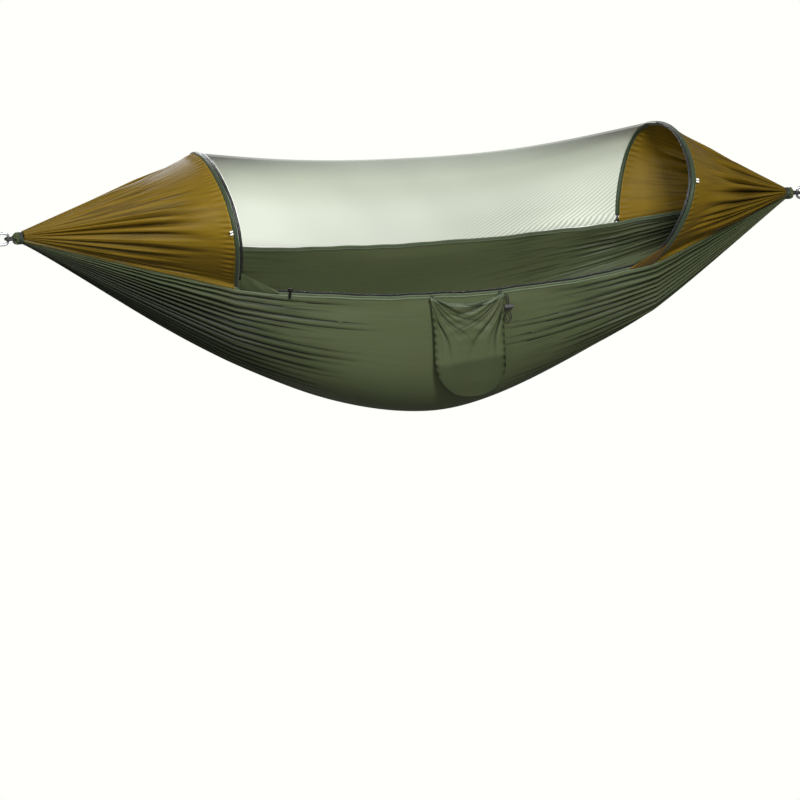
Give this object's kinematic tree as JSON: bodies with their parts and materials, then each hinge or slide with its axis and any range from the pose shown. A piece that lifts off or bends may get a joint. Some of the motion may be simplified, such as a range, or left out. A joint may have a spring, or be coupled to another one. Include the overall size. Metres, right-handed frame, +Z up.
{
  "type": "camping hammock",
  "caption": "Camping hammock of gathered cloth with standing hoops, end canopies, a mosquito net, a side pocket and end carabiners.",
  "frame": {"origin": "where the left tree strap bears, inside the outer bow of the left carabiner", "axes": "+X along the hammock to the right carabiner, +Z up, -Y the open side with the pocket and zip"},
  "size_m": [2.7114, 0.6018, 0.864],
  "materials": {
    "bed_cloth": "army green ripstop-free nylon taffeta with a soft sheen",
    "canopy_cloth": "coyote brown nylon taffeta with a soft sheen",
    "edge_binding": "dark green folded binding tape",
    "zip_tape": "black zip tape with a moulded coil",
    "insect_mesh": "pale fine knitted mosquito mesh",
    "hoop_sleeve": "dark glossy pole sleeve",
    "pole_fibreglass": "pultruded glass fibre rod",
    "aluminium": "tumbled bright aluminium",
    "spring_steel": "steel wire",
    "elastic_cord": "sheathed elastic cord",
    "black_plastic": "moulded black plastic",
    "white_tag": "blank woven tag",
    "black_cord": "braided polyester cord",
    "dark_metal": "blackened zinc zip hardware"
  },
  "bodies": {
    "hammock": {"bed_panel": "bed_cloth", "near_edge_hem": "edge_binding", "far_edge_hem": "edge_binding", "near_zip_tape": "zip_tape", "far_net_panel": "insect_mesh", "net_door_flap": "insect_mesh", "pocket_corner_tabs": "edge_binding", "left_end_canopy": "canopy_cloth", "end_channel_left": "bed_cloth", "end_binding_left": "black_cord", "end_rope_loop_left": "black_cord", "hoop_anchor_cups_left": "edge_binding", "foot_gusset_left": "bed_cloth", "right_end_canopy": "canopy_cloth", "end_channel_right": "bed_cloth", "end_binding_right": "black_cord", "end_rope_loop_right": "black_cord", "hoop_anchor_cups_right": "edge_binding", "foot_gusset_right": "canopy_cloth"},
    "hoop_left": {"hoop_sleeve_left": "hoop_sleeve", "hoop_pole_sections_left": "pole_fibreglass", "hoop_ferrules_left": "aluminium", "hoop_shock_cord_left": "elastic_cord", "hoop_tips_left": "black_plastic", "hoop_tag_left": "white_tag", "hoop_zip_left": "zip_tape"},
    "hoop_right": {"hoop_sleeve_right": "hoop_sleeve", "hoop_pole_sections_right": "pole_fibreglass", "hoop_ferrules_right": "aluminium", "hoop_shock_cord_right": "elastic_cord", "hoop_tips_right": "black_plastic", "hoop_tag_right": "white_tag", "hoop_zip_right": "zip_tape"},
    "pocket": {"pocket_bag": "bed_cloth", "pocket_top_hem": "edge_binding", "pocket_drawstring": "black_cord"},
    "cord_lock": {"cord_lock_body": "black_plastic", "cord_lock_spring": "spring_steel"},
    "lock_plunger": {"cord_lock_plunger": "black_plastic"},
    "zip_slider": {"zip_slider": "dark_metal"},
    "zip_pull": {"zip_pull_tab": "dark_metal"},
    "carabiner_left": {"carabiner_frame_left": "aluminium", "gate_rivet_left": "spring_steel"},
    "gate_left": {"carabiner_gate_left": "aluminium", "gate_spring_left": "spring_steel"},
    "carabiner_right": {"carabiner_frame_right": "aluminium", "gate_rivet_right": "spring_steel"},
    "gate_right": {"carabiner_gate_right": "aluminium", "gate_spring_right": "spring_steel"}
  },
  "joints": [
    {"name": "left_hoop_fold", "type": "hinge", "parent": "hammock", "child": "hoop_left", "pos_m": [0.7357, 0, -0.118], "axis": [0, -1, 0], "range_deg": [0, 66], "deforming": ["left_end_canopy", "far_net_panel", "net_door_flap"]},
    {"name": "right_hoop_fold", "type": "hinge", "parent": "hammock", "child": "hoop_right", "pos_m": [2.0937, 0, -0.118], "axis": [0, 1, 0], "range_deg": [0, 56], "deforming": ["right_end_canopy"]},
    {"name": "pocket_swing", "type": "hinge", "parent": "hammock", "child": "pocket", "pos_m": [1.4557, -0.25052, -0.18083], "axis": [-1, 0, 0], "range_deg": [0, 85]},
    {"name": "cord_lock_slide", "type": "slide", "parent": "pocket", "child": "cord_lock", "axis": [0, 0.1011, 0.9949], "range_m": [-0.002, 0.01]},
    {"name": "lock_plunger_press", "type": "slide", "parent": "cord_lock", "child": "lock_plunger", "axis": [-1, 0, 0], "range_m": [0, 0.003], "stiffness_N_per_m": 500, "springref_m": -0.002},
    {"name": "zip_slide", "type": "slide", "parent": "hammock", "child": "zip_slider", "axis": [0.989, -0.1082, -0.1006], "range_m": [0, 0.06]},
    {"name": "pull_tab_swing", "type": "hinge", "parent": "zip_slider", "child": "zip_pull", "pos_m": [0.90074, -0.2239, -0.14253], "axis": [-0.989, 0.1082, 0.1006], "range_deg": [0, 150]},
    {"name": "left_carabiner_swing", "type": "hinge", "parent": "hammock", "child": "carabiner_left", "pos_m": [0.0597, 0, 0], "axis": [0, -1, 0], "range_deg": [-60, 60]},
    {"name": "left_gate_open", "type": "hinge", "parent": "carabiner_left", "child": "gate_left", "pos_m": [0.046, 0, 0.018], "axis": [0, -1, 0], "range_deg": [0, 26], "stiffness_Nm_per_rad": 0.06, "springref_deg": -22.92},
    {"name": "right_carabiner_swing", "type": "hinge", "parent": "hammock", "child": "carabiner_right", "pos_m": [2.6357, 0, 0], "axis": [0, 1, 0], "range_deg": [-60, 60]},
    {"name": "right_gate_open", "type": "hinge", "parent": "carabiner_right", "child": "gate_right", "pos_m": [2.6494, 0, 0.018], "axis": [0, 1, 0], "range_deg": [0, 26], "stiffness_Nm_per_rad": 0.06, "springref_deg": -22.92}
  ],
  "couplings": [
    {"joint": "right_hoop_fold", "follows": "left_hoop_fold", "ratio": 0.84848}
  ]
}
